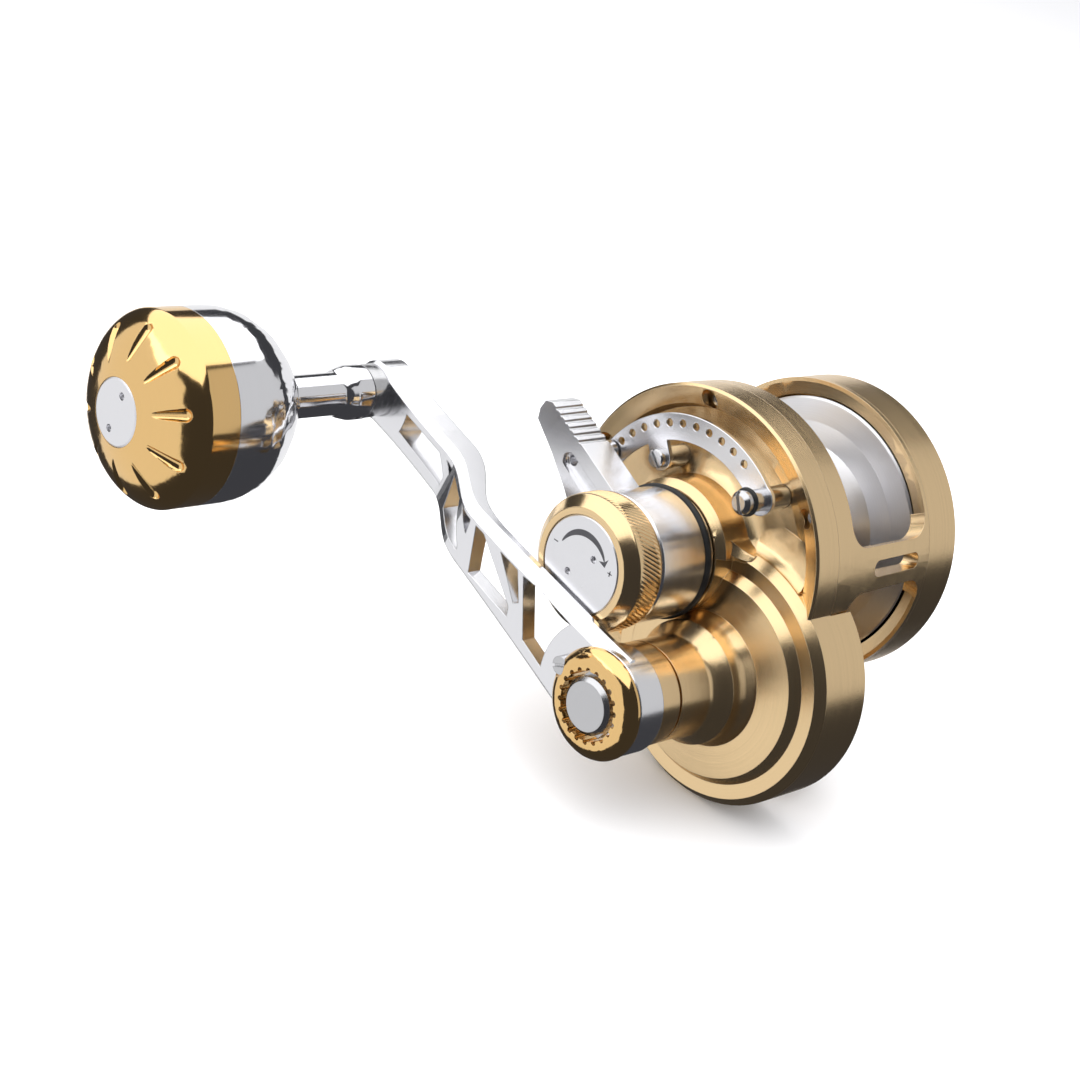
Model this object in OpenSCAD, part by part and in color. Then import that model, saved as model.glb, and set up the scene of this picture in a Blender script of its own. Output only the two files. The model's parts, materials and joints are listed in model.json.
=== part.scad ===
// Lever-drag overhead reel. Millimetres.
// +X is the handle side, +Y the rod tip, +Z up. The origin is the middle of the foot's flat
// underside. Stations along the spool and handle axes are measured from the left side plate's
// outer face, so station 0 is that face.

/* [Frame] */
// Height of the spool axis above the foot's underside
spool_z = 37; // [36:0.5:40]
// Station of the foot's centre plane, under the middle of the spool
foot_station = 24; // [22:0.5:26]
// Outer radius of the frame at its left end
frame_r_left = 30.7; // [30.5:0.1:31]
// Outer radius of the frame at its right end
frame_r_right = 31.9; // [31.7:0.1:32.2]
// Radius of the bore through both frame rings
frame_bore_r = 27.3; // [27.2:0.1:27.5]

/* [Spool] */
// Radius of the spool flanges
flange_r = 26.86; // [26:0.02:26.9]
// Radius of the spool arbor
arbor_r = 13; // [11:0.5:16]

/* [Gears] */
// Gear module
gear_module = 0.5; // [0.5:0.5:0.5]
// Teeth on the drive gear
drive_teeth = 87; // [87:1:87]
// Teeth on the pinion
pinion_teeth = 15; // [15:1:15]

/* [Gear case] */
// Direction of the handle axis from the spool axis, up from +Y
handle_axis_angle = -50; // [-55:1:-45]
// Outer radius of the gear case
case_r = 26.03; // [25.8:0.01:26.2]

/* [Drag lever] */
// Direction of the lever's centre line, up from +Y
lever_angle = 156.6; // [156.6:0.1:156.6]
// Radius of the lever's tip from the spool axis
lever_tip_r = 35.2; // [33:0.2:38]
// Number of detent holes in the quadrant
detent_count = 13; // [9:1:13]
// Angle from one detent hole to the next
detent_step = 7.91; // [7:0.01:8]

/* [Handle] */
// Direction of the crank arm from the handle axis, up from +Y
arm_angle = 164.84; // [0:1:360]
// Distance from the handle axis to the knob axis
arm_length = 87.65; // [80:0.05:95]
// How far the arm steps inward between its two ends
arm_offset = 7.5; // [5:0.5:9]
// Largest radius of the handle knob
knob_r = 19; // [17:0.5:20]
// Number of flutes in the knob's dome
knob_flutes = 10; // [8:1:14]

/* [Hidden] */
$fn = 96;
fit_gap = 0.05;

gold = [0.80, 0.62, 0.36];
bright_gold = [0.90, 0.72, 0.30];
silver = [0.84, 0.84, 0.86];
steel = [0.66, 0.66, 0.68];
black = [0.10, 0.10, 0.10];
carbon = [0.20, 0.20, 0.22];
brass = [0.78, 0.64, 0.32];

// Gear geometry
gear_centres = gear_module * (drive_teeth + pinion_teeth) / 2;
handle_y = gear_centres * cos(handle_axis_angle);
handle_z = gear_centres * sin(handle_axis_angle);
pressure_angle = 20;
backlash_share = 0.08;

// Stations from the left side plate's outer face
left_seam = 11.1;
right_seam = 42.3;
window_left = 12.3;
window_right = 37.2;
case_rear = 35.6;
case_rim = 48.2;
case_top = 50;
hub_top = 55;
hub_r = 13.9;
drum_front = 70;
preset_front = 78.8;
boss_front = 70.3;
arm_front = 82.7;
arm_thickness = 6.6;
arm_thin = 3.25;
arm_back = arm_front - arm_thickness;
lock_screw_r = 10.2;
knob_seat = arm_front - arm_offset;
knob_seam = 123.1;
knob_band = 129;
knob_height = 8.4;
knob_front = knob_band + knob_height;

// Cross members, as angles up from +Y
front_bar = [8.7, 23.5];
rear_bar = [156.5, 171.3];
foot_bar = [244, 296];
corner_r = 4.5;
corner_step = 0.03;

// Drag quadrant
quadrant_station = 51;
quadrant_t = 1;
quadrant_top = quadrant_station + quadrant_t;
hole_circle_r = 24.4;
last_hole = 68.5;
lever_hole = last_hole + 11 * detent_step;
stop_angle = 51;
stop_r = 23.4;
lug_angle = 125.3;
lug_r = 17.7;
lug_seat = 45;
stop_seat = 44.6;

// Handle shaft and spool shaft
handle_shaft_r = 4;
spool_shaft_r = 3;
slim_shaft_r = 2.3;
key_station = 7.3;
key_r = 0.7;
bearing_r = 7;

// Plate screws
left_screw_r = 29;
left_screw_angles = [16, 164, 250, 290];
right_screw_r = 29.2;
right_screw_angles = [38, 102.6, 162, 224];
screw_r = 0.95;
left_pocket_r = 1.4;
pocket_r = 1.95;
pocket_floor = 43.9;
case_screw_r = 23.1;
case_screw_angles = [-110, -50, 10];

// ---- Placing and shared shapes ----

// Children are drawn with their z axis along +X and their x axis along +Y
module along_x(station, y, z) {
    translate([station - foot_station, y, z]) rotate([90, 0, 90]) children();
}

module on_spool_axis(station = 0) {
    along_x(station, 0, spool_z) children();
}

module on_handle_axis(station = 0) {
    along_x(station, handle_y, spool_z + handle_z) children();
}

module on_knob_axis(station = 0) {
    on_handle_axis(station) rotate(arm_angle) translate([arm_length, 0, 0]) children();
}

// Solid of revolution from [radius, station] points
module turned(points) {
    rotate_extrude() polygon(points);
}

// Flat washer or tube between two stations
module ring(outer_r, inner_r, from, to) {
    translate([0, 0, from]) difference() {
        cylinder(r = outer_r, h = to - from);
        translate([0, 0, -1]) cylinder(r = inner_r, h = to - from + 2);
    }
}

module disc(r, from, to) {
    translate([0, 0, from]) cylinder(r = r, h = to - from);
}

module at_polar(r, angle) {
    rotate(angle) translate([r, 0, 0]) children();
}

// Ball bearing: two races and their balls
module ball_bearing(inner_r, outer_r, from, width, balls) {
    race = (outer_r - inner_r) * 0.27;
    track_r = (inner_r + outer_r) / 2;
    ball_r = (outer_r - inner_r) / 2 - race - 0.02;
    ring(outer_r, outer_r - race, from, from + width);
    ring(inner_r + race, inner_r, from, from + width);
    for (i = [0:balls - 1])
        at_polar(track_r, i * 360 / balls) translate([0, 0, from + width / 2]) sphere(r = ball_r, $fn = 32);
}

// O-ring of section radius t, centred at radius r
module o_ring(r, t, station) {
    translate([0, 0, station]) rotate_extrude() translate([r, 0]) circle(r = t, $fn = 32);
}

// Cap screw: shank towards the left, head at its right end with a hex socket
module cap_screw(shank_r, head_r, from, shoulder, head_h) {
    difference() {
        union() {
            disc(shank_r, from, shoulder);
            disc(head_r, shoulder, shoulder + head_h);
        }
        translate([0, 0, shoulder + head_h * 0.4]) cylinder(r = head_r * 0.58, h = head_h, $fn = 6);
    }
}

// ---- Gears ----

function involute_angle(base_r, r) =
    r <= base_r ? 0 : sqrt(pow(r / base_r, 2) - 1) * 180 / PI - acos(base_r / r);

// Corner radii of one flank, from root to tip
function flank_radii(root_r, tip_r, steps) = [for (i = [0:steps]) root_r + (tip_r - root_r) * i / steps];

function gear_points(teeth, tip_r, root_r) =
    let (
        pitch_r = gear_module * teeth / 2,
        base_r = pitch_r * cos(pressure_angle),
        half = 90 / teeth - backlash_share / (2 * pitch_r) * 180 / PI,
        at_pitch = involute_angle(base_r, pitch_r),
        radii = flank_radii(root_r, tip_r, 3)
    )
    [for (t = [0:teeth - 1], side = [-1, 1], i = [0:3])
        let (
            r = radii[side < 0 ? i : 3 - i],
            a = t * 360 / teeth + side * (half + at_pitch - involute_angle(base_r, r))
        )
        [r * cos(a), r * sin(a)]];

function ratchet_points(teeth, tip_r, root_r, rise) =
    [for (t = [0:teeth - 1], k = [0, 1])
        let (
            a = (t + (k == 0 ? 0 : rise)) * 360 / teeth,
            r = k == 0 ? root_r : tip_r
        )
        [r * cos(a), r * sin(a)]];

// ---- Frame ----

// Opening between two cross members, with rounded corners
module frame_window(from_angle, to_angle) {
    inset = corner_r / 29 * 180 / PI;
    rotate_extrude(angle = to_angle - from_angle - 2 * inset, start = from_angle + inset)
        polygon([
            [22, window_left - 1.2], [frame_bore_r, window_left - 1.2], [29.9, window_left],
            [38, window_left], [38, window_right], [22, window_right]
        ]);
    for (side = [-1, 1]) {
        angle = side < 0 ? from_angle + inset : to_angle - inset;
        rotate(angle) translate([22, 0, 0]) rotate([0, 90, 0]) linear_extrude(16) {
            translate([-window_right + corner_r, side < 0 ? -corner_r : -0.6])
                square([window_right - window_left - 2 * corner_r, corner_r + 0.6]);
            translate([-window_right + corner_r + corner_step, 0]) circle(r = corner_r);
            translate([-window_left - corner_r - corner_step, 0]) circle(r = corner_r);
        }
    }
}

// Slot through the front cross member
module bar_slot() {
    slot_half = 1.6;
    slot_from = 14.8;
    slot_to = 30;
    rotate(15.8) translate([22, 0, 0]) rotate([0, 90, 0]) linear_extrude(16) {
        translate([-slot_to + slot_half, -slot_half])
            square([slot_to - slot_from - 2 * slot_half, 2 * slot_half]);
        translate([-slot_to + slot_half, 0]) circle(r = slot_half);
        translate([-slot_from - slot_half, 0]) circle(r = slot_half);
    }
}

module frame_shell(grow = 0) {
    turned([
        [0, left_seam], [frame_r_left + grow, left_seam],
        [frame_r_right + grow, right_seam], [0, right_seam]
    ]);
}

module frame() {
    color(gold) on_spool_axis() difference() {
        union() {
            frame_shell();
            disc(27.9, 8.5, left_seam + 1);
        }
        disc(frame_bore_r, 8, 43);
        frame_window(front_bar[1], rear_bar[0]);
        frame_window(rear_bar[1], foot_bar[0]);
        frame_window(foot_bar[1] - 360, front_bar[0]);
        bar_slot();
        for (a = left_screw_angles) at_polar(left_screw_r, a) disc(screw_r, 11, 14.4);
        for (a = right_screw_angles) at_polar(right_screw_r, a) disc(screw_r, 38, 43);
        translate([0, 0, foot_station]) rotate([90, 0, 0])
            for (side = [-1, 1]) translate([side * 7, 0, 27.6]) cylinder(r = 1.25, h = 8);
    }
}

// ---- Left side ----

module left_side_plate() {
    color(gold) on_spool_axis() difference() {
        turned([
            [3.6, 1.4], [8.6, 1.4], [8.6, 0.4], [10.4, 0], [11.6, 0.9], [24, 1.3], [25.4, 0],
            [28.6, 0], [30.68, 2.1], [30.68, left_seam], [27.95, left_seam], [27.95, 8.4],
            [27.6, 8.4], [27.6, 2.8], [8.5, 2.8], [7.5, 3.8], [7.5, 6.4], [3.6, 6.4]
        ]);
        for (a = left_screw_angles) at_polar(left_screw_r, a) {
            disc(screw_r + fit_gap, -1, 12);
            disc(left_pocket_r, -1, 3.2);
        }
        rotate(70) translate([15.4, -1.55, -1]) cube([5.4, 3.1, 5]);
    }
}

module left_hub_cap() {
    color(silver) on_spool_axis() difference() {
        turned([[0, -0.5], [7, -0.5], [8.4, 0.3], [8.4, 1.4], [3.3, 1.4], [3.3, 1.5], [0, 1.5]]);
        for (side = [-1, 1]) translate([side * 5, 0, -1]) cylinder(r = 0.8, h = 1.4);
    }
}

module left_plate_screws() {
    color(steel) on_spool_axis() for (a = left_screw_angles) at_polar(left_screw_r, a)
        translate([0, 0, 14.2]) rotate([180, 0, 0])
        cap_screw(screw_r, 1.3, 0, 11, 1.6);
}

module shaft_bush() {
    color(brass) on_spool_axis() ring(3.6, spool_shaft_r + fit_gap, 1.5, 6.4);
}

module clicker_button() {
    color(silver) on_spool_axis() rotate(70) {
        difference() {
            translate([18.9, 0, 0]) turned([[0, -1.7], [2.6, -1.7], [3.2, -1.1], [3.2, 0.9], [0, 0.9]]);
            for (i = [-1:1]) translate([18.6 + i * 1.5, -4, -2]) cube([0.6, 8, 0.6]);
        }
        translate([17.6, -1.45, 0.5]) cube([2.8, 2.9, 2.7]);
    }
}

module clicker_tongue() {
    color(steel) on_spool_axis() rotate(70) translate([0, 0, 3.2]) linear_extrude(1.8)
        polygon([[11.4, -0.35], [13.4, -1.45], [20.8, -1.45], [20.8, 1.45], [13.4, 1.45], [11.4, 0.35]]);
}

// ---- Foot ----

module reel_foot() {
    half_l = 31;
    half_w = 6.8;
    color(gold) difference() {
        intersection() {
            linear_extrude(12) {
                translate([-half_w, -half_l + half_w]) square([2 * half_w, 2 * (half_l - half_w)]);
                for (side = [-1, 1]) translate([0, side * (half_l - half_w)]) circle(r = half_w);
            }
            rotate([90, 0, 90]) translate([0, 0, -half_w]) linear_extrude(2 * half_w) polygon([
                [-half_l, 0], [half_l, 0], [half_l, 1.8], [19, 3], [13.5, 4.4], [11.5, 9],
                [-11.5, 9], [-13.5, 4.4], [-19, 3], [-half_l, 1.8]
            ]);
        }
        on_spool_axis() frame_shell(0.005);
        for (side = [-1, 1]) translate([0, side * 7, -1]) {
            cylinder(r = 1.25, h = 12);
            cylinder(r = 2.4, h = 2.6);
        }
    }
}

module foot_screws() {
    color(steel) for (side = [-1, 1]) translate([0, side * 7, 0.2]) difference() {
        union() {
            cylinder(r = 2.3, h = 1.4);
            cylinder(r = 1.25, h = 9);
        }
        translate([0, 0, -0.01]) cylinder(r = 1.1, h = 1, $fn = 6);
    }
}

// ---- Right side plate and gear case ----

// Room over the gear case, which the hub and its webs leave free
module over_case(r) {
    disc(r, 49.5, hub_top + 1);
}

// Web between the hub and the gear case. Its flanks are concave fillets and its top slopes from
// the hub's front down to the case's rim.
module hub_web() {
    web_r = 7;
    to_hub = hub_r + web_r;
    to_case = case_r + web_r;
    x = (pow(gear_centres, 2) + pow(to_hub, 2) - pow(to_case, 2)) / (2 * gear_centres);
    y = sqrt(pow(to_hub, 2) - pow(x, 2));
    hub_touch = [x, y] * hub_r / to_hub;
    case_touch = [gear_centres, 0] + [x - gear_centres, y] * case_r / to_case;
    run = case_touch - hub_touch;
    fall = atan((hub_top - case_top) / norm(run));
    rotate(handle_axis_angle) difference() {
        translate([0, 0, right_seam]) linear_extrude(hub_top - 0.1 - right_seam)
            polygon([[0, 0], [x, -y], [gear_centres, 0], [x, y]]);
        translate([gear_centres, 0, 0]) over_case(24.1);
        for (side = [-1, 1]) translate([x, side * y, 0]) {
            turned([
                [0, 45.15], [web_r - 3.9, 45.2], [web_r - 1.5, 46], [web_r - 0.2, 47],
                [web_r + 0.2, 48.5], [web_r + 0.2, 60], [0, 60]
            ]);
            translate([0, 0, (hub_top + case_top) / 2]) rotate(side * atan2(run[1], run[0])) rotate([0, fall, 0])
                turned([[0, -1.6], [web_r + 0.25, -1.6], [web_r + 1.7, 0], [40, 0], [40, 20], [0, 20]]);
        }
    }
}

module right_side_plate() {
    on_case = gear_centres * [cos(handle_axis_angle), sin(handle_axis_angle), 0];
    color(gold) on_spool_axis() difference() {
        union() {
            // Rim with its wide bevel, the recessed dish, and the hub with its neck
            difference() {
                turned([
                    [0, right_seam], [frame_r_right, right_seam], [frame_r_right, 48.3], [31.4, 48.7],
                    [27.9, 47.2], [27.1, 45.4], [24.5, 44.9], [18, 45.4], [15.6, 46.1], [14.3, 47.1],
                    [hub_r, 48.4], [hub_r, 53.5], [12.5, hub_top], [7, hub_top], [7, 63.6], [0, 63.6]
                ]);
                difference() {
                    translate(on_case) over_case(24.3);
                    disc(12.6, 49, 64);
                }
            }
            // Fillet between the dish and the gear case
            intersection() {
                disc(27.4, 43, 49);
                translate(on_case) turned([
                    [24.9, 43.6], [case_r + 6.5, 43.6], [case_r + 6.5, 45.1], [case_r + 4.1, 45.5],
                    [case_r + 1.7, 46.1], [case_r + 0.4, 47.1], [case_r - 0.1, 48.1], [24.9, 48.1]
                ]);
            }
            // Gear case and its long bearing boss
            translate(on_case) turned([
                [0, case_rear], [25.4, case_rear], [case_r, case_rear + 0.6], [case_r, case_rim],
                [24.43, case_top], [21.56, case_top], [20, 51.9], [13.4, 53.2], [13.2, 53.8], [12.2, 56.2],
                [12.15, 58.4], [11.8, 59], [10.2, 61.6], [9.8, 62.6], [9.8, boss_front], [0, boss_front]
            ]);
            hub_web();
        }
        // Room for the frame ring
        disc(frame_r_right + 0.1, case_rear - 1, right_seam);
        // Drive gear chamber, ratchet chamber and bearing bore
        translate(on_case) {
            disc(24.25, case_rear - 1, 43.5);
            disc(22.5, 43, 48.4);
            disc(16.8, 48, 50.9);
            disc(6, 50, 71);
            disc(bearing_r, 55.6, 69.2);
        }
        // Pinion chamber, pinion bearing seat and shaft passage
        disc(6.5, 42, 53.4);
        disc(slim_shaft_r + 0.3, 53, 64);
        for (a = right_screw_angles) at_polar(right_screw_r, a) {
            disc(screw_r + fit_gap, 42, 50);
            disc(pocket_r, pocket_floor, 50);
        }
        at_polar(lug_r, lug_angle) {
            disc(1, 43.6, 50);
            disc(2.3, lug_seat, 50);
        }
        at_polar(stop_r, stop_angle) {
            disc(1, 43.4, 50);
            disc(2.3, stop_seat, 50);
        }
        translate(on_case) for (a = case_screw_angles) at_polar(case_screw_r, a) disc(0.55, 43, 46.5);
        translate(on_case) at_polar(14.4, 100) disc(1, 48, 52.2);
    }
}

module right_plate_screws() {
    color(steel) on_spool_axis() for (a = right_screw_angles)
        at_polar(right_screw_r, a) cap_screw(screw_r, 1.3, 38.2, pocket_floor, 1.5);
}

// Plate that closes the gear chamber, with a block that fills the overhang behind the case
module gear_case_back() {
    color(gold) difference() {
        union() {
            on_handle_axis() disc(24.2, 42.4, 43.5);
            difference() {
                on_handle_axis() disc(24.2, case_rear + 0.6, 42.4);
                on_spool_axis() disc(frame_r_right + 0.15, 30, 43);
            }
        }
        on_spool_axis() disc(6.5, 42, 44);
        on_handle_axis() disc(5, 42, 44);
        case_back_screw_places() disc(0.6, 35, 44);
    }
}

module case_back_screw_places() {
    on_handle_axis() for (a = case_screw_angles) at_polar(case_screw_r, a) children();
}

module case_back_screws() {
    color(steel) case_back_screw_places() translate([0, 0, 46.3]) rotate([180, 0, 0])
        cap_screw(0.55, 1, 0, 10.1, 0.9);
}

// ---- Drag quadrant ----

module quadrant_plate() {
    from = 49;
    to = 167;
    color(silver) on_spool_axis(quadrant_station) difference() {
        union() {
            rotate_extrude(angle = to - from, start = from) translate([21, 0]) square([5.3, quadrant_t]);
            at_polar(stop_r, stop_angle) cylinder(r = 3.1, h = quadrant_t);
            at_polar(lug_r, lug_angle) cylinder(r = 2.5, h = quadrant_t);
            rotate(lug_angle) translate([lug_r, -2.5, 0]) cube([5, 5, quadrant_t]);
        }
        for (i = [0:detent_count - 1]) at_polar(hole_circle_r, last_hole + i * detent_step)
            translate([0, 0, -1]) cylinder(r = 0.78, h = 3);
        at_polar(stop_r, stop_angle) translate([0, 0, -1]) cylinder(r = 1.65, h = 3);
        at_polar(lug_r, lug_angle) translate([0, 0, -1]) cylinder(r = 1.05, h = 3);
    }
}

module quadrant_screw() {
    color(steel) on_spool_axis() at_polar(lug_r, lug_angle) difference() {
        union() {
            disc(1, 43.8, quadrant_top);
            turned([[0, quadrant_top], [1.9, quadrant_top], [1.9, 53.3], [1.6, 53.6], [0, 53.6]]);
        }
        rotate(14) translate([-3, -0.3, 52.9]) cube([6, 0.6, 2]);
    }
}

module quadrant_standoffs() {
    color(steel) on_spool_axis() {
        at_polar(lug_r, lug_angle) ring(2.2, 1.05, lug_seat, quadrant_station);
        at_polar(stop_r, stop_angle) ring(2.2, 1.65, stop_seat, quadrant_station);
    }
}

module stop_post() {
    color(silver) on_spool_axis() at_polar(stop_r, stop_angle) difference() {
        union() {
            disc(1, 43.6, stop_seat + 0.1);
            disc(1.6, stop_seat, quadrant_top);
            turned([
                [0, quadrant_top], [2.1, quadrant_top], [2.1, 55.2], [1.7, 55.2], [1.7, 56.2],
                [2.3, 56.2], [2.3, 57.3], [1.5, 58.1], [0, 58.1]
            ]);
        }
        rotate(70) translate([-3, -0.35, 57.2]) cube([6, 0.7, 2]);
    }
}

module stop_post_oring() {
    color(black) on_spool_axis() at_polar(stop_r, stop_angle) o_ring(2.28, 0.48, 55.7);
}

// ---- Drag lever ----

// Outline of the lever's arm: x runs out along the arm, y towards the rod tip at rest
module lever_outline() {
    mirror([0, 1]) polygon([
        [9, 6], [lever_tip_r - 1.6, 6], [lever_tip_r, 4.8], [lever_tip_r, 2.6], [lever_tip_r - 1, 0.6],
        [27, -1.2], [20, -3.6], [15, -5.8], [10, -8.4], [4, -11.9], [0, 0]
    ]);
}

module lever_outline_on_arm() {
    rotate(lever_angle) lever_outline();
}

module drag_lever() {
    groove_r = 0.45;
    detent_depth = 4;
    color(silver) on_spool_axis() difference() {
        union() {
            turned([
                [7.05, 55.3], [12.2, 55.3], [12.2, 56.35], [11.7, 56.35], [11.7, 57.95], [12.5, 57.95],
                [12.7, 58.15], [12.7, drum_front - 0.4], [12.3, drum_front], [10, drum_front],
                [10, 64.1], [7.05, 64.1]
            ]);
            difference() {
                translate([0, 0, 58.4]) linear_extrude(7.6) lever_outline_on_arm();
                disc(12, 50, 70);
            }
            at_polar(hole_circle_r, lever_hole) disc(2.2, 52.4, 58.6);
        }
        // Thumb serrations across the tip's forward face
        for (i = [0:5]) rotate(lever_angle)
            translate([lever_tip_r - 3.2 - i * 1.7, -6.15, 50]) cylinder(r = groove_r, h = 20, $fn = 24);
        // Pocket down the outer face, with the detent's access hole in its floor
        rotate(lever_angle) translate([0, -1.2, 64.7]) {
            translate([12.9, -1.7, 0]) cube([9.9, 3.4, 3]);
            translate([22.8, 0, 0]) cylinder(r = 1.7, h = 3);
            translate([22.8, 0, -2.4]) cylinder(r = 1.1, h = 3);
        }
        at_polar(hole_circle_r, lever_hole) disc(0.95, 50, 52.4 + detent_depth);
    }
}

module drum_oring() {
    color(black) on_spool_axis() o_ring(12.45, 0.74, 57.15);
}

module lever_cam() {
    color(steel) on_spool_axis() ring(10, slim_shaft_r + 0.25, 64.1, 69.6);
}

module detent_ball() {
    color(steel) on_spool_axis() at_polar(hole_circle_r, lever_hole)
        translate([0, 0, quadrant_top + 0.92]) sphere(r = 0.9, $fn = 48);
}

module detent_spring() {
    color(steel) on_spool_axis() at_polar(hole_circle_r, lever_hole)
        for (i = [0:5]) o_ring(0.66, 0.16, 54.1 + i * 0.4);
}

// ---- Preset knob ----

module preset_knob() {
    color(gold) on_spool_axis() difference() {
        turned([
            [slim_shaft_r + 0.02, 70.7], [12.8, 70.7], [13.14, 71], [13.14, 76.6], [12.9, 77],
            [10.86, preset_front], [9.55, preset_front], [9.55, 77.4], [slim_shaft_r + 0.02, 77.4]
        ]);
        ring(9.4, 7.4, 70, 71.9);
    }
}

module preset_cap() {
    color(silver) on_spool_axis() difference() {
        turned([[0, 77.4], [9.5, 77.4], [9.5, 78.5], [9.2, preset_front], [0, preset_front]]);
        for (side = [-1, 1]) rotate(45) translate([side * 3.6, 0, 78]) cylinder(r = 0.7, h = 2);
    }
}

module preset_click_ring() {
    color(steel) on_spool_axis() ring(9.3, 7.5, 71, 71.9);
}

// ---- Spool train ----

module spool() {
    color(silver) on_spool_axis() turned([
        [6.5, 8], [11.9, 8], [11.9, 9.3], [25.8, 9.9], [26.5, 10.1], [flange_r, 10.5], [flange_r, 11],
        [26.4, 11.3], [22, 12.1], [18, 13.3], [15, 15.2], [13.5, 17.4], [arbor_r, 20], [arbor_r, 28.6],
        [13.5, 31.2], [15, 33.4], [18, 35.3], [22, 36.5], [26.4, 37.2], [flange_r, 37.6],
        [flange_r, 38.4], [26.5, 39], [25.2, 39], [25.2, 38], [9.6, 38], [9.6, 37.2], [6.5, 37.2],
        [6.5, 32.2], [4.4, 32.2], [4.4, 13], [6.5, 13]
    ]);
}

module left_spool_bearing() {
    color(steel) on_spool_axis() ball_bearing(spool_shaft_r + fit_gap, 6.5, 8.2, 4.6, 9);
}

module right_spool_bearing() {
    color(steel) on_spool_axis() ball_bearing(spool_shaft_r + fit_gap, 6.5, 32.4, 4.6, 9);
}

// Toothed click wheel on the spool's left boss
module click_ratchet() {
    color(brass) on_spool_axis() difference() {
        union() {
            translate([0, 0, 3.2]) linear_extrude(1.8) rotate(-5) polygon(ratchet_points(24, 10.6, 9.3, 0.5));
            disc(9.2, 4.9, 8);
        }
        disc(8.6, 3, 9);
    }
}

module drag_washer() {
    color(carbon) on_spool_axis() ring(25.1, 9.8, 38, 39.2);
}

module spool_shaft() {
    color(steel) on_spool_axis() difference() {
        turned([
            [0, 1.7], [2.7, 1.7], [spool_shaft_r, 2], [spool_shaft_r, 38.9], [slim_shaft_r, 39.1],
            [slim_shaft_r, 76.6], [0, 76.6]
        ]);
        translate([0, 5, key_station]) rotate([90, 0, 0]) cylinder(r = key_r, h = 10);
    }
}

// Cross pin that keeps the left bearing from walking along the shaft
module shaft_key_pin() {
    color(steel) on_spool_axis() translate([0, 4.4, key_station]) rotate([90, 0, 0])
        cylinder(r = key_r, h = 8.8);
}

// Disc springs that push the spool away from the drive plate
module release_springs() {
    springs = [[37.05, 0.35], [38.05, -0.35], [38.35, 0.35]];
    color(steel) on_spool_axis() for (spring = springs)
        turned([
            [3.1, spring[0]], [5.6, spring[0] + spring[1]],
            [5.6, spring[0] + spring[1] + 0.29], [3.1, spring[0] + 0.29]
        ]);
}

module drive_plate() {
    color(steel) on_spool_axis() difference() {
        disc(24.5, 39.85, 41.25);
        disc(4.5, 39, 42);
        for (i = [0:5]) at_polar(15, i * 60) disc(2.4, 39, 42);
    }
}

// Pinion: journal for the drive plate, teeth, then the bearing journal
module pinion() {
    color(brass) on_spool_axis() difference() {
        union() {
            disc(4.5, 39.85, 44);
            translate([0, 0, 44]) linear_extrude(4.4) rotate(handle_axis_angle + 180 / pinion_teeth)
                polygon(gear_points(pinion_teeth, 4.22, 3.15));
            disc(3.1, 48.4, 53.2);
        }
        disc(slim_shaft_r + fit_gap, 39, 54);
    }
}

module pinion_bearing() {
    color(steel) on_spool_axis() ball_bearing(3.15, 6.5, 48.6, 4.6, 9);
}

module pinion_bush() {
    color(brass) on_spool_axis() ring(6.5, 4.55, 42.4, 43.5);
}

// ---- Handle train ----

module drive_gear() {
    color(brass) on_handle_axis(44.2) difference() {
        linear_extrude(3.8) rotate(handle_axis_angle + 180)
            polygon(gear_points(drive_teeth, 22.15, 21.1));
        translate([0, 0, -1]) cylinder(r = handle_shaft_r, h = 6);
        for (i = [0:5]) at_polar(13, i * 60 + 30) translate([0, 0, -1]) cylinder(r = 4, h = 6);
    }
}

// Shaft from the rear bush to the hexagon that carries the arm and the rounded end
module handle_shaft() {
    color(steel) on_handle_axis() {
        disc(3.5, 42.5, 44.2);
        disc(handle_shaft_r, 44.2, arm_back);
        translate([0, 0, arm_back]) cylinder(r = 6.3, h = 7.5, $fn = 6);
        turned([[0, 83.4], [5.5, 83.4], [5.5, 85.2], [4.7, 86], [0, 86]]);
    }
}

module rear_shaft_bush() {
    color(brass) on_handle_axis() ring(5, 3.5 + fit_gap, 42.4, 43.5);
}

module anti_reverse_ratchet() {
    color(steel) on_handle_axis(48.9) difference() {
        rotate(121.5) linear_extrude(1.5) polygon(ratchet_points(10, 12, 10.4, 0.9));
        translate([0, 0, -1]) cylinder(r = handle_shaft_r, h = 4);
    }
}

// Pawl, held just clear of the ratchet at rest
module pawl() {
    color(steel) on_handle_axis(48.9) rotate(100) difference() {
        linear_extrude(1.4) {
            translate([14.4, 0]) circle(r = 1.7);
            polygon([[13.1, 1], [15.8, 0.8], [12.6, 6], [11.9, 6.6], [10.9, 5.9]]);
        }
        translate([14.4, 0, -1]) cylinder(r = 1.05, h = 4);
    }
}

module pawl_pivot() {
    color(steel) on_handle_axis() at_polar(14.4, 100) disc(1, 48.2, 52);
}

// One-way clutch: outer ring and rollers
module roller_clutch() {
    color(steel) on_handle_axis() {
        ring(bearing_r, 5.6, 55.6, 63.4);
        for (i = [0:7]) at_polar(4.8, i * 45) disc(0.72, 56, 63);
    }
}

module shaft_bearing() {
    color(steel) on_handle_axis() ball_bearing(handle_shaft_r + 0.02, bearing_r, 64, 5, 9);
}

module boss_collar() {
    color(gold) on_handle_axis() turned([
        [handle_shaft_r, 70.5], [9.5, 70.5], [9.8, 70.8], [9.8, arm_back], [handle_shaft_r, arm_back]
    ]);
}

// ---- Handle ----

// Half width of the arm at distance s from the handle axis
function arm_half(s) = 5.6 + 5.2 * pow(max(0, 1 - s / 75), 1.6) + 0.5 * pow(max(0, s - 75) / 12, 2);

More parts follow.
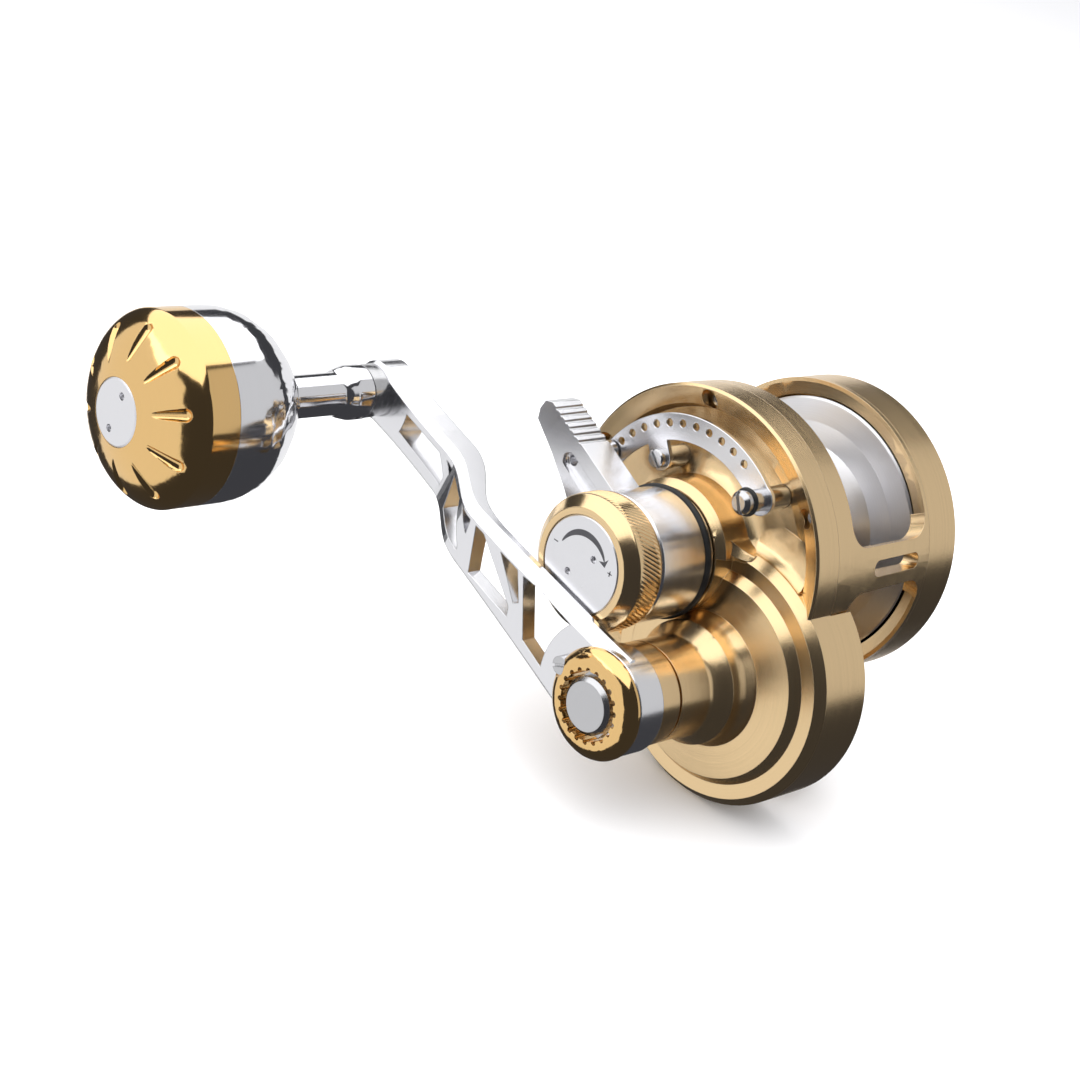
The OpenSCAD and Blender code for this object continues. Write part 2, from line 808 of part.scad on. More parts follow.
// Station of the arm's front face at distance s
function arm_station(s) =
    let (t = min(1, max(0, (s - 45) / 18)))
    arm_front - arm_offset * t * t * (3 - 2 * t);

// Thickness at distance s: thin where the arm passes over the preset knob
function arm_depth(s) =
    let (t = min(1, max(0, (s - 39) / 18)))
    arm_thin + (arm_thickness - arm_thin) * t * t * (3 - 2 * t);

// Width of the chamfer along the arm's front edges
function arm_chamfer(s) = 2.4 - 1.2 * s / arm_length;

// Corners of the arm's section at distance s
function arm_section(s) =
    let (h = arm_half(s), f = arm_station(s), c = arm_chamfer(s), d = arm_depth(s))
    [[s, -h, f - d], [s, h, f - d], [s, h, f - c],
     [s, h - c, f], [s, c - h, f], [s, -h, f - c]];

module arm_bar() {
    cuts = concat([0], [for (s = [6:6:36]) s], [for (s = [39:1.5:63]) s], [68, 73, 78, 82, 86], [arm_length]);
    last = len(cuts) - 1;
    polyhedron(
        [for (s = cuts) each arm_section(s)],
        concat(
            [for (i = [0:last - 1], j = [0:5]) [i * 6 + j, i * 6 + 6 + (j + 1) % 6, i * 6 + (j + 1) % 6]],
            [for (i = [0:last - 1], j = [0:5]) [i * 6 + j, i * 6 + 6 + j, i * 6 + 6 + (j + 1) % 6]],
            [[0, 1, 2, 3, 4, 5], [for (j = [5:-1:0]) last * 6 + j]]
        )
    );
}

// Windows of the arm's truss, from the nut end to the knob end
module arm_windows() {
    difference() {
        polygon([[28, -5.6], [24, -6.5], [12, -7], [12, 5.4], [20.9, 4.4]]);
        circle(r = 15.4);
    }
    polygon([[35.2, -5.1], [29.8, -5.5], [25.9, -0.6], [27, 0.5]]);
    polygon([[43.2, -4.5], [40.6, -4.7], [27.5, 1.9], [26.7, 3.9], [39.4, 4.4]]);
    polygon([[49, -4.3], [45, -4.4], [44.4, -1.2]]);
    polygon([[57.9, -3.4], [51.2, -3.9], [44.6, 2.5], [44.6, 3.2], [55.5, 3]]);
    polygon([[62.4, -3.3], [59.5, -3.3], [59.9, -1.7]]);
    difference() {
        polygon([[78, 1.6], [61, 2.2], [61, 0.2], [64.9, -3.1], [78, -2.8]]);
        translate([arm_length, 0]) circle(r = 11.2);
    }
}

module crank_arm() {
    color(silver) on_handle_axis() rotate(arm_angle) difference() {
        union() {
            arm_bar();
            turned([[0, arm_back], [10.4, arm_back], [10.4, arm_front - 0.6], [9.8, arm_front], [0, arm_front]]);
            translate([arm_length, 0, knob_seat]) turned([
                [0, -arm_thickness], [6.1, -arm_thickness], [6.1, -0.8], [5.5, 0], [0, 0]
            ]);
        }
        translate([0, 0, 60]) linear_extrude(30) arm_windows();
        rotate(-arm_angle) translate([0, 0, 70]) cylinder(r = 6.3, h = 20, $fn = 6);
        translate([arm_length, 0, 60]) cylinder(r = 2.5, h = 30);
        translate([lock_screw_r, 0, 80]) cylinder(r = 0.9, h = 6);
    }
}

// Domed nut with a toothed bore around the shaft's end
module handle_nut() {
    notches = 20;
    color(bright_gold) on_handle_axis() difference() {
        turned([
            [6.6, arm_front], [10.63, arm_front], [10.63, 83.2], [10.4, 83.8], [9.9, 84.4], [9.1, 85],
            [8.2, 85.4], [7.3, 85.6], [6.6, 85.6]
        ]);
        for (i = [0:notches - 1]) at_polar(6.75, i * 360 / notches) disc(0.5, 82, 87);
        rotate(arm_angle) translate([lock_screw_r, 0, 82]) cylinder(r = 2, h = 6);
    }
}

module nut_lock_screw() {
    color(steel) on_handle_axis() rotate(arm_angle) translate([lock_screw_r, 0, 0]) difference() {
        union() {
            disc(0.85, 80.2, arm_front);
            disc(1.8, arm_front, 84.2);
        }
        rotate(40) translate([-3, -0.3, 83.6]) cube([6, 0.6, 2]);
    }
}

// Axle that the knob turns on, shouldered against the arm
module knob_post() {
    color(steel) on_knob_axis() turned([
        [0, 66.4], [2.5, 66.4], [2.5, knob_seat], [3, knob_seat], [3, 130], [0, 130]
    ]);
}

module post_nut() {
    color(silver) on_knob_axis() difference() {
        turned([[2.5, 66], [3.6, 66], [4.4, 66.8], [4.4, 68.6], [2.5, 68.6]]);
        for (side = [-1, 1]) translate([side * 3.6, 0, 65]) cylinder(r = 0.5, h = 2);
    }
}

module knob_washers() {
    color(steel) on_knob_axis() {
        ring(5.3, 3.02, knob_seat, 76.9);
        ring(5.5, 3.02, 76.95, 78.9);
    }
}

module inner_knob_bearing() {
    color(steel) on_knob_axis() ball_bearing(3.05, 4.6, 80, 3, 10);
}

module outer_knob_bearing() {
    color(steel) on_knob_axis() ball_bearing(3.05, 6.5, 124, 4, 9);
}

// Rear half of the knob: collar, neck and bowl
module knob_rear_shell() {
    color(silver) on_knob_axis() difference() {
        turned([
            [3.3, 79], [5.4, 79], [5.65, 79.3], [5.65, 82.6], [5, 85], [4.4, 86.2], [4.4, 97.4],
            [4.7, 98.6], [5.8, 99.9], [9.5, 102.3], [12.6, 104.6], [15.6, 107.7], [17.9, 111.6],
            [18.8, 115], [knob_r, 118], [knob_r, knob_seam], [17, knob_seam], [17, 116.5],
            [16, 112.4], [13.6, 108.8], [10, 106], [6.5, 104.4], [6.5, 102], [3.3, 101]
        ]);
        disc(4.6, 78, 83.2);
        rotate(150) translate([4.9, -0.7, 80.3]) cube([2, 1.4, 2]);
    }
}

// Height of the knob's dome above its band at radius r
function dome(r) = 1.06 * knob_height * pow(1 - pow(r / knob_r, 2), 0.62);

module knob_front_shell() {
    flute_r = 1.35;
    dome_steps = [for (k = [1, 0.997, 0.985, 0.96, 0.92, 0.86, 0.78, 0.69, 0.58, 0.47]) k * knob_r];
    color(bright_gold) on_knob_axis() difference() {
        turned(concat(
            [[knob_r, knob_seam]],
            [for (r = dome_steps) [r, knob_band + dome(r)]],
            [[6.6, knob_front - 0.1], [6.6, knob_front - 2], [6.5, knob_front - 2], [6.5, knob_seam]]
        ));
        for (i = [0:knob_flutes - 1]) rotate(1.5 + i * 360 / knob_flutes)
            translate([16.2, 0, knob_band + 4.5]) rotate([0, -62, 0]) {
                cylinder(r1 = flute_r, r2 = flute_r * 0.35, h = 8);
                sphere(r = flute_r);
            }
    }
}

module knob_cap() {
    color(silver) on_knob_axis() difference() {
        turned([
            [0, knob_front - 2], [6.55, knob_front - 2], [6.55, knob_front - 0.2], [6.2, knob_front],
            [0, knob_front]
        ]);
        for (side = [-1, 1]) translate([0, side * 3.8, knob_front - 0.8]) cylinder(r = 0.75, h = 2);
    }
}

frame();
left_side_plate();
left_hub_cap();
left_plate_screws();
reel_foot();
foot_screws();
right_side_plate();
right_plate_screws();
gear_case_back();
case_back_screws();
quadrant_plate();
quadrant_screw();
quadrant_standoffs();
stop_post();
stop_post_oring();
drag_lever();
drum_oring();
lever_cam();
detent_ball();
detent_spring();
preset_knob();
preset_cap();
preset_click_ring();
spool();
left_spool_bearing();
right_spool_bearing();
click_ratchet();
drag_washer();
spool_shaft();
shaft_bush();
shaft_key_pin();
release_springs();
pinion();
drive_plate();
pinion_bearing();
pinion_bush();
drive_gear();
handle_shaft();
rear_shaft_bush();
anti_reverse_ratchet();
pawl();
pawl_pivot();
roller_clutch();
shaft_bearing();
boss_collar();
clicker_button();
clicker_tongue();
crank_arm();
handle_nut();
nut_lock_screw();
knob_post();
post_nut();
knob_washers();
inner_knob_bearing();
outer_knob_bearing();
knob_rear_shell();
knob_front_shell();
knob_cap();
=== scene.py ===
"""Looks for the lever-drag reel: machined metal, softened edges, knurling, engraving, light and camera.

Everything is in metres in the CAD's own frame. Shapes that start from a CAD node take its mesh; new pieces
take their places from the CAD nodes' boxes and the record's joints.
"""

import json
import math

import bmesh
import bpy
from mathutils import Matrix, Vector

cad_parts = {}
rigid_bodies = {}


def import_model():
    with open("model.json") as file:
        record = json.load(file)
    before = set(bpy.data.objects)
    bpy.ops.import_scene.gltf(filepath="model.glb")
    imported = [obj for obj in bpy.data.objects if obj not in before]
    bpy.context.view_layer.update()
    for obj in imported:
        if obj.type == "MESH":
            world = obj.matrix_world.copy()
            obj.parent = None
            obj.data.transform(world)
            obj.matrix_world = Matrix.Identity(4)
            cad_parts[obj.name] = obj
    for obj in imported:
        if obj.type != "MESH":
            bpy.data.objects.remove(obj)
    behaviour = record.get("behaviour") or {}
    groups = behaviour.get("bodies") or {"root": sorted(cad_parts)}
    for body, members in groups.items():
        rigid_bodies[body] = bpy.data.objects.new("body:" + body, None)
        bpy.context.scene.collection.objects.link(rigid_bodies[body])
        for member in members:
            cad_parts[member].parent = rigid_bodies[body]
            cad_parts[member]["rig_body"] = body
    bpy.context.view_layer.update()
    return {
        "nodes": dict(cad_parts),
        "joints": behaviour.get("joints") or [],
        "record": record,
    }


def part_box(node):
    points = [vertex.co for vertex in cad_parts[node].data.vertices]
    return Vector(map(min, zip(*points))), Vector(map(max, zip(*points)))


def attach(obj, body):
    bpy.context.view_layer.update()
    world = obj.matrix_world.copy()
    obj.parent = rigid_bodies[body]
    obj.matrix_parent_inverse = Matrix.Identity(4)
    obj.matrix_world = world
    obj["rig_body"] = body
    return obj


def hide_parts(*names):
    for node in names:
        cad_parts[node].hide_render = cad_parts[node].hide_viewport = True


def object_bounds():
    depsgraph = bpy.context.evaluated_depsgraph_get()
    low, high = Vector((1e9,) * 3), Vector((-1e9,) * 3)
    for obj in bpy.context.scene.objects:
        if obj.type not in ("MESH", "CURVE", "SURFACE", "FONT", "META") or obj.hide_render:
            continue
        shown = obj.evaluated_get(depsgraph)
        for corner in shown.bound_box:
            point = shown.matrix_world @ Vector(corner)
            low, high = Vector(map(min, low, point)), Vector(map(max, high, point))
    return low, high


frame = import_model()

MM = 0.001
JOINTS = {joint["name"]: joint for joint in frame["joints"]}
SPOOL_AXIS = Vector(JOINTS["spool_spin"]["pos_m"])
HANDLE_AXIS = Vector(JOINTS["handle_turn"]["pos_m"])
KNOB_AXIS = Vector(JOINTS["knob_spin"]["pos_m"])
NODE_SLOT = {part["node"]: part["material_slot"] for part in frame["record"]["subparts"]}


CASE_RADIUS = 26.2 * MM
HUB_RADIUS = 14.2 * MM


def body_of(node):
    return frame["nodes"][node]["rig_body"]


# ---------------------------------------------------------------- materials

class Graph:
    """A material's node tree, with short ways to add nodes and maths."""

    def __init__(self, name):
        self.material = bpy.data.materials.new(name)
        self.material.use_nodes = True
        self.tree = self.material.node_tree
        self.tree.nodes.clear()

    def add(self, kind, inputs=(), **settings):
        node = self.tree.nodes.new(kind)
        for key, value in settings.items():
            setattr(node, key, value)
        for key, value in dict(inputs).items():
            if isinstance(value, bpy.types.NodeSocket):
                self.tree.links.new(value, node.inputs[key])
            else:
                node.inputs[key].default_value = value
        return node

    def math(self, operation, a, b=0.0, clamp=False):
        return self.add("ShaderNodeMath", {0: a, 1: b}, operation=operation, use_clamp=clamp).outputs[0]

    def vector(self, operation, a, b=(0, 0, 0)):
        return self.add("ShaderNodeVectorMath", {0: a, 1: b}, operation=operation).outputs

    def noise(self, coords, scale, detail=2.0, roughness=0.5):
        node = self.add("ShaderNodeTexNoise", {"Vector": coords, "Scale": scale, "Detail": detail,
                                               "Roughness": roughness})
        return node.outputs["Fac"]

    def remap(self, value, low, high, to_low=0.0, to_high=1.0):
        return self.add("ShaderNodeMapRange", {0: value, 1: low, 2: high, 3: to_low, 4: to_high}).outputs[0]

    def mix(self, factor, a, b):
        node = self.add("ShaderNodeMix", data_type="RGBA")
        for socket, value in ((node.inputs[0], factor), (node.inputs[6], a), (node.inputs[7], b)):
            if isinstance(value, bpy.types.NodeSocket):
                self.tree.links.new(value, socket)
            else:
                socket.default_value = value
        return node.outputs[2]

    def finish(self, shader):
        self.add("ShaderNodeOutputMaterial", {"Surface": shader})
        return self.material


def srgb(r, g, b):
    """Linear colour from sRGB values of 0 to 255."""
    def linear(v):
        v /= 255
        return v / 12.92 if v <= 0.04045 else ((v + 0.055) / 1.055) ** 2.4
    return (linear(r), linear(g), linear(b), 1.0)


def offset_from(graph, points, axis):
    """Vector from an axis along X to each point."""
    return graph.vector("SUBTRACT", points, (0, axis.y, axis.z))[0]


def case_mask(graph, points):
    """1 on the gear case and its boss, 0 on the part turned about the spool axis."""
    def distance_from(axis):
        flat = graph.vector("MULTIPLY", offset_from(graph, points, axis), (0, 1, 1))[0]
        return graph.vector("LENGTH", flat)[1]
    return graph.math("MULTIPLY", graph.math("LESS_THAN", distance_from(HANDLE_AXIS), CASE_RADIUS),
                      graph.math("GREATER_THAN", distance_from(SPOOL_AXIS), HUB_RADIUS))


def metal(name, colour, roughness, axis=None, two_axes=False, groove=3.0, blast=0.0, edge_radius=0.14,
          dark=0.75, anisotropy=0.0, lines=6500.0, smudge=0.03):
    """Machined metal. With an axis, turning lines run round it; blast adds a bead-blasted grain.
    groove and blast are bump heights in micrometres, edge_radius the broken edge in millimetres."""
    g = Graph(name)
    points = g.add("ShaderNodeTexCoord").outputs["Object"]
    soft_normal = g.add("ShaderNodeBevel", {"Radius": edge_radius * MM}, samples=4).outputs[0]
    true_normal = g.add("ShaderNodeNewGeometry").outputs["Normal"]
    edge = g.remap(g.vector("DOT_PRODUCT", soft_normal, true_normal)[1], 0.80, 0.99, 1.0, 0.0)
    patches = g.noise(points, 70.0, 2.0)
    settings = {}
    if axis is not None:
        radial = offset_from(g, points, axis)
        if two_axes:
            on_case = case_mask(g, points)
            radial = g.add("ShaderNodeMix", {0: on_case, 4: radial, 5: offset_from(g, points, HANDLE_AXIS)},
                           data_type="VECTOR").outputs[1]
        flat = g.vector("MULTIPLY", radial, (0, 1, 1))[0]
        distance = g.vector("LENGTH", flat)[1]
        along = g.add("ShaderNodeSeparateXYZ", {0: points}).outputs[0]
        ring = g.add("ShaderNodeCombineXYZ", {0: along, 1: distance}).outputs[0]
        grain = g.noise(ring, lines, 3.0, 0.65)
        broad = g.noise(ring, lines / 9, 2.0)
        if anisotropy:
            around = g.vector("NORMALIZE", g.vector("CROSS_PRODUCT", (1, 0, 0), flat)[0])[0]
            settings["Tangent"] = g.add("ShaderNodeVectorTransform", {0: around}, vector_type="VECTOR",
                                        convert_from="OBJECT", convert_to="WORLD").outputs[0]
            settings["Anisotropic"] = anisotropy
            settings["Anisotropic Rotation"] = 0.25
        height = groove
    else:
        grain = g.noise(points, 7000.0, 2.0, 0.7)
        broad = g.noise(points, 900.0, 2.0)
        height = blast
    normal = g.add("ShaderNodeBump", {"Height": grain, "Distance": height * 1e-6 * 8, "Strength": 0.6,
                                      "Normal": soft_normal}).outputs[0]
    rough = g.math("ADD", roughness, g.math("MULTIPLY", g.math("SUBTRACT", broad, 0.5), roughness * 0.35))
    rough = g.math("ADD", rough, g.math("MULTIPLY", g.math("SUBTRACT", patches, 0.5), smudge))
    rough = g.math("ADD", rough, g.math("MULTIPLY", edge, 0.05), clamp=True)
    shade = g.mix(g.remap(grain, 0.3, 0.7, 0.0, 0.5), colour, tuple(c * dark for c in colour[:3]) + (1.0,))
    worn = tuple(min(1.0, c * 0.6 + 0.38) for c in colour[:3]) + (1.0,)
    shade = g.mix(g.math("MULTIPLY", edge, 0.35), shade, worn)
    settings.update({"Base Color": shade, "Metallic": 1.0, "Roughness": rough, "Normal": normal})
    return g.finish(g.add("ShaderNodeBsdfPrincipled", settings).outputs[0])


def rubber(name):
    g = Graph(name)
    points = g.add("ShaderNodeTexCoord").outputs["Object"]
    grain = g.noise(points, 2600.0, 4.0)
    normal = g.add("ShaderNodeBump", {"Height": grain, "Distance": 2e-5, "Strength": 0.5}).outputs[0]
    dust = g.remap(g.noise(points, 300.0, 4.0), 0.45, 0.75, 0.0, 0.25)
    colour = g.mix(dust, srgb(16, 16, 17), srgb(62, 60, 58))
    return g.finish(g.add("ShaderNodeBsdfPrincipled", {
        "Base Color": colour, "Roughness": g.remap(grain, 0.3, 0.7, 0.42, 0.6), "Normal": normal}).outputs[0])


def carbon(name):
    """Woven carbon: two sets of tows crossing at right angles."""
    g = Graph(name)
    points = g.add("ShaderNodeTexCoord").outputs["Object"]
    weave = g.add("ShaderNodeTexChecker", {"Vector": points, "Scale": 900.0}).outputs["Fac"]
    fibre = g.noise(g.vector("MULTIPLY", points, (1, 1, 6))[0], 2500.0, 2.0)
    colour = g.mix(weave, srgb(24, 24, 26), srgb(52, 52, 56))
    normal = g.add("ShaderNodeBump", {"Height": g.math("ADD", weave, fibre), "Distance": 3e-5,
                                      "Strength": 0.5}).outputs[0]
    return g.finish(g.add("ShaderNodeBsdfPrincipled", {
        "Base Color": colour, "Roughness": g.remap(fibre, 0.3, 0.7, 0.35, 0.55),
        "Normal": normal}).outputs[0])


GOLD = srgb(243, 212, 164)
RICH_GOLD = srgb(241, 200, 136)
SILVER = srgb(238, 238, 241)
STAINLESS = srgb(206, 206, 208)
BRASS = srgb(222, 184, 104)

LOOKS = {
    "frame_gold": metal("frame_gold", GOLD, 0.25, axis=SPOOL_AXIS, anisotropy=0.3, groove=2.0,
                        dark=0.85),
    "plate_gold": metal("plate_gold", GOLD, 0.25, axis=SPOOL_AXIS, two_axes=True, anisotropy=0.3,
                        groove=2.0, dark=0.85),
    "handle_gold": metal("handle_gold", GOLD, 0.23, axis=HANDLE_AXIS, anisotropy=0.3, groove=2.0,
                         dark=0.85),
    "blasted_gold": metal("blasted_gold", GOLD, 0.30, blast=3.0),
    "knob_gold": metal("knob_gold", RICH_GOLD, 0.10, axis=KNOB_AXIS, groove=0.4, dark=0.92, smudge=0.03),
    "nut_gold": metal("nut_gold", RICH_GOLD, 0.09, axis=HANDLE_AXIS, groove=0.4, dark=0.92, smudge=0.03),
    "preset_gold": metal("preset_gold", GOLD, 0.17, axis=SPOOL_AXIS, groove=1.2, dark=0.85),
    "polished_silver": metal("polished_silver", SILVER, 0.2, blast=0.3, dark=0.96, smudge=0.03,
                             edge_radius=0.3),
    "satin_silver": metal("satin_silver", SILVER, 0.27, blast=0.8, dark=0.95, smudge=0.02),
    "spool_silver": metal("spool_silver", SILVER, 0.33, axis=SPOOL_AXIS, groove=1.6, dark=0.9,
                          anisotropy=0.4),
    "knob_silver": metal("knob_silver", SILVER, 0.1, axis=KNOB_AXIS, groove=0.25, dark=0.95, smudge=0.02),
    "cap_silver": metal("cap_silver", SILVER, 0.3, blast=1.0, dark=0.94),
    "drum_silver": metal("drum_silver", SILVER, 0.24, axis=SPOOL_AXIS, groove=0.8, dark=0.88),
    "steel": metal("steel", STAINLESS, 0.22, blast=1.0, dark=0.85),
    "handle_steel": metal("handle_steel", STAINLESS, 0.25, axis=HANDLE_AXIS, groove=2.0, dark=0.8,
                          anisotropy=0.4),
    "brass": metal("brass", BRASS, 0.26, blast=1.5, dark=0.85),
    "engraving": metal("engraving", srgb(112, 112, 116), 0.5, blast=3.0),
    "rubber": rubber("rubber"),
    "carbon": carbon("carbon"),
}
SLOT_LOOK = {"gold_anodise": "frame_gold", "polished_gold": "knob_gold", "silver_aluminium": "satin_silver",
             "stainless": "steel", "gear_brass": "brass", "black_rubber": "rubber", "drag_carbon": "carbon"}
NODE_LOOK = {
    "right_side_plate": "plate_gold", "gear_case_back": "handle_gold", "boss_collar": "handle_gold",
    "reel_foot": "blasted_gold", "preset_knob": "preset_gold", "handle_nut": "nut_gold",
    "crank_arm": "polished_silver", "drag_lever": "drum_silver", "quadrant_plate": "drum_silver",
    "spool": "spool_silver", "knob_rear_shell": "knob_silver", "knob_cap": "cap_silver",
    "preset_cap": "cap_silver", "handle_shaft": "handle_steel", "stop_post": "steel",
}


def look_of(node):
    return LOOKS[NODE_LOOK.get(node, SLOT_LOOK[NODE_SLOT[node]])]


def paint(obj, material):
    obj.data.materials.clear()
    obj.data.materials.append(material)


# ---------------------------------------------------------------- shapes from CAD nodes

def settle(obj, sharp=32):
    """Smooth shading that keeps flat faces flat and edges over the given angle sharp."""
    obj.data.polygons.foreach_set("use_smooth", [True] * len(obj.data.polygons))
    obj.data.set_sharp_from_angle(angle=math.radians(sharp))
    weighted = obj.modifiers.new("weighted", "WEIGHTED_NORMAL")
    weighted.keep_sharp = True


def softened(node, width, segments=2, angle=28):
    """A copy of a CAD node with every sharp edge rounded, width in millimetres."""
    source = frame["nodes"][node]
    mesh = source.data.copy()
    shape = bmesh.new()
    shape.from_mesh(mesh)
    bmesh.ops.remove_doubles(shape, verts=shape.verts, dist=2e-6)
    bmesh.ops.dissolve_degenerate(shape, edges=shape.edges, dist=1e-6)
    bmesh.ops.dissolve_limit(shape, angle_limit=math.radians(0.6), verts=shape.verts, edges=shape.edges)
    shape.to_mesh(mesh)
    shape.free()
    piece = bpy.data.objects.new(node + "_soft", mesh)
    bpy.context.scene.collection.objects.link(piece)
    rounding = piece.modifiers.new("rounding", "BEVEL")
    rounding.width = width * MM
    rounding.segments = segments
    rounding.limit_method = "ANGLE"
    rounding.angle_limit = math.radians(angle)
    rounding.use_clamp_overlap = True
    rounding.miter_outer = "MITER_ARC"
    settle(piece)
    paint(piece, look_of(node))
    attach(piece, body_of(node))
    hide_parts(node)
    return piece


for name, node in frame["nodes"].items():
    paint(node, look_of(name))

# Width in millimetres of the rounding on the edges of each visible machined part.
SOFTENED = {"drag_lever": 0.25, "frame": 0.2, "right_side_plate": 0.2, "left_side_plate": 0.2,
            "quadrant_plate": 0.12, "handle_nut": 0.15, "knob_front_shell": 0.12, "knob_rear_shell": 0.12,
            "preset_knob": 0.1, "boss_collar": 0.15}
for name, width in SOFTENED.items():
    softened(name, width)


# ---------------------------------------------------------------- knurling and engraving

def solid(name, points, faces, look, body):
    """A closed mesh in the row's frame that rides on a body."""
    mesh = bpy.data.meshes.new(name)
    mesh.from_pydata([tuple(point) for point in points], [], faces)
    mesh.validate()
    shape = bmesh.new()
    shape.from_mesh(mesh)
    bmesh.ops.recalc_face_normals(shape, faces=shape.faces)
    shape.to_mesh(mesh)
    shape.free()
    piece = bpy.data.objects.new(name, mesh)
    bpy.context.scene.collection.objects.link(piece)
    paint(piece, LOOKS[look])
    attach(piece, body)
    return piece


def around(axis, x, radius, angle):
    """The point at a radius from an axis along X, angle up from +Y."""
    return Vector((x, axis.y + radius * math.cos(angle), axis.z + radius * math.sin(angle)))


def knurled_band(ridges=96, samples=6, rows=16, height=0.24, lean=29.7):
    """Leaning ridges round the preset knob's rim, on a thin sleeve sunk into the knob."""
    low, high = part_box("preset_knob")
    rim = (high.z - low.z) / 2
    start, stop = low.x + 0.3 * MM, low.x + 5.9 * MM
    columns = ridges * samples
    points, faces = [], []

    def loop(x, radius_at):
        turn = math.tan(math.radians(lean)) * (x - start) / rim
        for column in range(columns):
            angle = turn + 2 * math.pi * column / columns
            points.append(around(SPOOL_AXIS, x, radius_at(column), angle))
    for row in range(rows + 1):
        fade = min(1.0, 4.0 * min(row, rows - row) / rows)

        def ridged(column):
            crest = 1 - abs(2 * (column % samples) / samples - 1)
            return rim + ((crest * height - 0.04) * fade - 0.02 * (1 - fade)) * MM
        loop(start + (stop - start) * row / rows, ridged)
    for x in (stop, start):
        loop(x, lambda column: rim - 0.3 * MM)
    loops = list(range(rows + 3))
    for here, after in zip(loops, loops[1:] + loops[:1]):
        for column in range(columns):
            beside = (column + 1) % columns
            faces.append((here * columns + column, here * columns + beside,
                          after * columns + beside, after * columns + column))
    solid("preset_knurl", points, faces, "preset_gold",
          body_of("preset_knob"))


def inlay(name, outline, front, body):
    """A flat closed figure that stands 0.02 mm proud of a front face. outline is (y, z) points."""
    count = len(outline)
    points = [Vector((front + rise * MM, y, z)) for rise in (-0.1, 0.02) for y, z in outline]
    faces = [tuple(range(count)), tuple(range(2 * count - 1, count - 1, -1))]
    faces += [(i, (i + 1) % count, count + (i + 1) % count, count + i) for i in range(count)]
    solid(name, points, faces, "engraving", body)


def cap_engraving():
    """Curved arrow from minus to plus on the preset cap."""
    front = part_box("preset_cap")[1].x
    body, slot = body_of("preset_cap"), NODE_SLOT["preset_cap"]

    def at(radius, degrees):
        point = around(SPOOL_AXIS, front, radius * MM, math.radians(degrees))
        return point.y, point.z
    steps, start, stop = 32, 160.0, 34.0
    turns = [start + (stop - start) * i / steps for i in range(steps + 1)]
    widths = [0.12 + 0.5 * math.sin(math.pi * i / steps) ** 0.8 for i in range(steps + 1)]
    outer = [at(6.2 + width, turn) for turn, width in zip(turns, widths)]
    inner = [at(6.2 - width, turn) for turn, width in zip(turns, widths)]
    inlay("arrow_shaft", outer + inner[::-1], front, body)
    inlay("arrow_head", [at(7.3, 36), at(6.1, 24), at(4.9, 38), at(6.2, 33.6)], front, body)

    def bar(name, degrees, across):
        centre = around(SPOOL_AXIS, front, 7.4 * MM, math.radians(degrees))
        long_y, long_z = (0.11, 0.55) if across else (0.55, 0.11)
        corners = ((-1, -1), (1, -1), (1, 1), (-1, 1))
        inlay(name, [(centre.y + side_y * long_y * MM, centre.z + side_z * long_z * MM)
                     for side_y, side_z in corners], front, body)
    bar("minus_bar", 169, False)
    bar("plus_bar", 16, False)
    bar("plus_bar_across", 16, True)


knurled_band()
cap_engraving()


# ---------------------------------------------------------------- floor, light and camera

TARGET = Vector((41.1, -22.5, 28.5)) * MM
AZIMUTH = math.radians(39.9)
ELEVATION = math.radians(23.96)
ROLL = math.radians(16.55)
DISTANCE = 411 * MM
LENS = 69.4


def camera_axes():
    """The camera's right, up and backward directions."""
    back = Vector((math.cos(ELEVATION) * math.cos(AZIMUTH), math.cos(ELEVATION) * math.sin(AZIMUTH),
                   math.sin(ELEVATION)))
    level = Vector((0, 0, 1)).cross(back).normalized()
    above = back.cross(level)
    right = level * math.cos(ROLL) + above * math.sin(ROLL)
    return right, back.cross(right), back


def make_camera():
    right, up, back = camera_axes()
    data = bpy.data.cameras.new("camera")
    data.lens = LENS
    data.sensor_width = 36
    data.clip_start = 0.01
    camera = bpy.data.objects.new("camera", data)
    turn = Matrix((right, up, back)).transposed()
    camera.matrix_world = Matrix.Translation(TARGET + back * DISTANCE) @ turn.to_4x4()
    bpy.context.scene.collection.objects.link(camera)
    bpy.context.scene.camera = camera


def softbox(name, direction, distance, width, height, radiance):
    """A soft light that faces the object. direction is in the camera's right, up and backward axes."""
    right, up, back = camera_axes()
    away = (right * direction[0] + up * direction[1] + back * direction[2]).normalized()
    data = bpy.data.lights.new(name, "AREA")
    data.shape = "RECTANGLE"
    data.size, data.size_y = width, height
    data.energy = radiance * math.pi * width * height
    light = bpy.data.objects.new(name, data)
    light.location = TARGET + away * distance
    light.rotation_euler = away.to_track_quat("Z", "Y").to_euler()
    light.visible_camera = False
    bpy.context.scene.collection.objects.link(light)


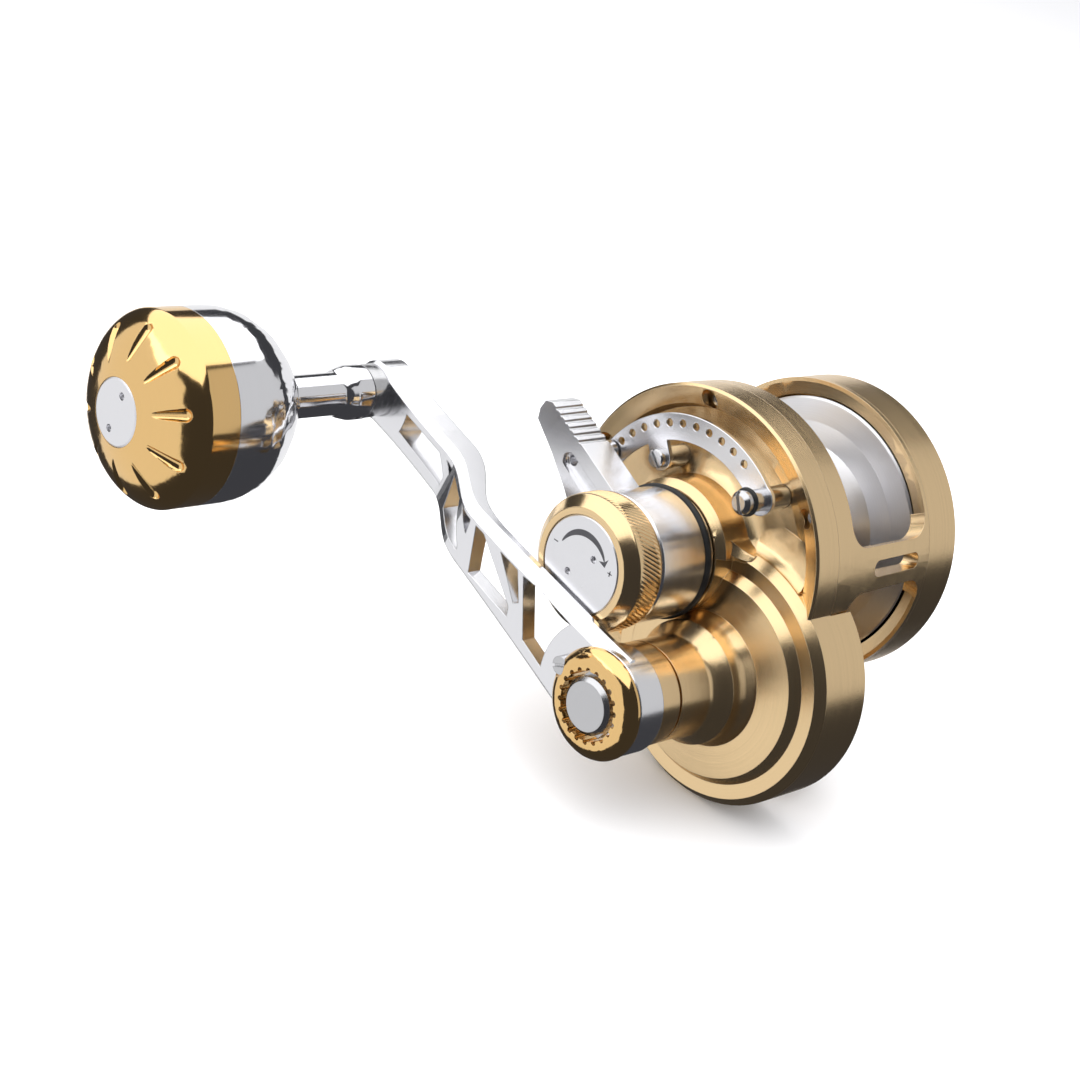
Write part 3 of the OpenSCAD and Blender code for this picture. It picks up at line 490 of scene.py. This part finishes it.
def make_lights():
    """Large soft lights above and to the left, a weaker one to the right and one behind."""
    softbox("top_light", (-0.05, 1.0, 0.3), 0.6, 1.5, 1.2, 1.6)
    softbox("left_light", (-0.97, -0.05, 0.22), 0.6, 1.2, 1.1, 0.85)
    softbox("right_light", (1.0, 0.15, 0.1), 0.7, 0.9, 0.8, 0.6)
    softbox("back_light", (0.1, 0.2, -1.0), 0.9, 1.2, 0.8, 0.9)


def make_world():
    """A room that lights the floor evenly and shows dim in the metal's reflections."""
    world = bpy.data.worlds.new("studio")
    world.use_nodes = True
    world.cycles.sampling_method = "NONE"
    tree = world.node_tree
    tree.nodes.clear()

    def background(colour):
        node = tree.nodes.new("ShaderNodeBackground")
        node.inputs[0].default_value = colour
        return node.outputs[0]
    path = tree.nodes.new("ShaderNodeLightPath")
    pale_ray = tree.nodes.new("ShaderNodeMath")
    pale_ray.operation = "MAXIMUM"
    mixed = tree.nodes.new("ShaderNodeMixShader")
    output = tree.nodes.new("ShaderNodeOutputWorld")
    tree.links.new(path.outputs["Is Camera Ray"], pale_ray.inputs[0])
    tree.links.new(path.outputs["Is Diffuse Ray"], pale_ray.inputs[1])
    tree.links.new(pale_ray.outputs[0], mixed.inputs[0])
    tree.links.new(background((0.05, 0.05, 0.055, 1)), mixed.inputs[1])
    tree.links.new(background((0.96, 0.96, 0.97, 1)), mixed.inputs[2])
    tree.links.new(mixed.outputs[0], output.inputs[0])
    bpy.context.scene.world = world


def make_floor():
    """A pale floor that the object's own reflections don't show."""
    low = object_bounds()[0][2]
    bpy.ops.mesh.primitive_plane_add(size=6, location=(0, 0, low))
    floor = bpy.context.object
    floor.name = "floor"
    g = Graph("floor_paper")
    points = g.add("ShaderNodeTexCoord").outputs["Object"]
    tone = g.mix(g.noise(points, 6.0, 3.0), srgb(250, 250, 251), srgb(246, 246, 248))
    floor.data.materials.append(g.finish(g.add("ShaderNodeBsdfPrincipled", {
        "Base Color": tone, "Roughness": 0.9, "Specular IOR Level": 0.1}).outputs[0]))
    floor.visible_glossy = False
    floor.visible_shadow = False


make_camera()
make_lights()
make_world()
make_floor()
bpy.context.scene.view_settings.view_transform = "Standard"
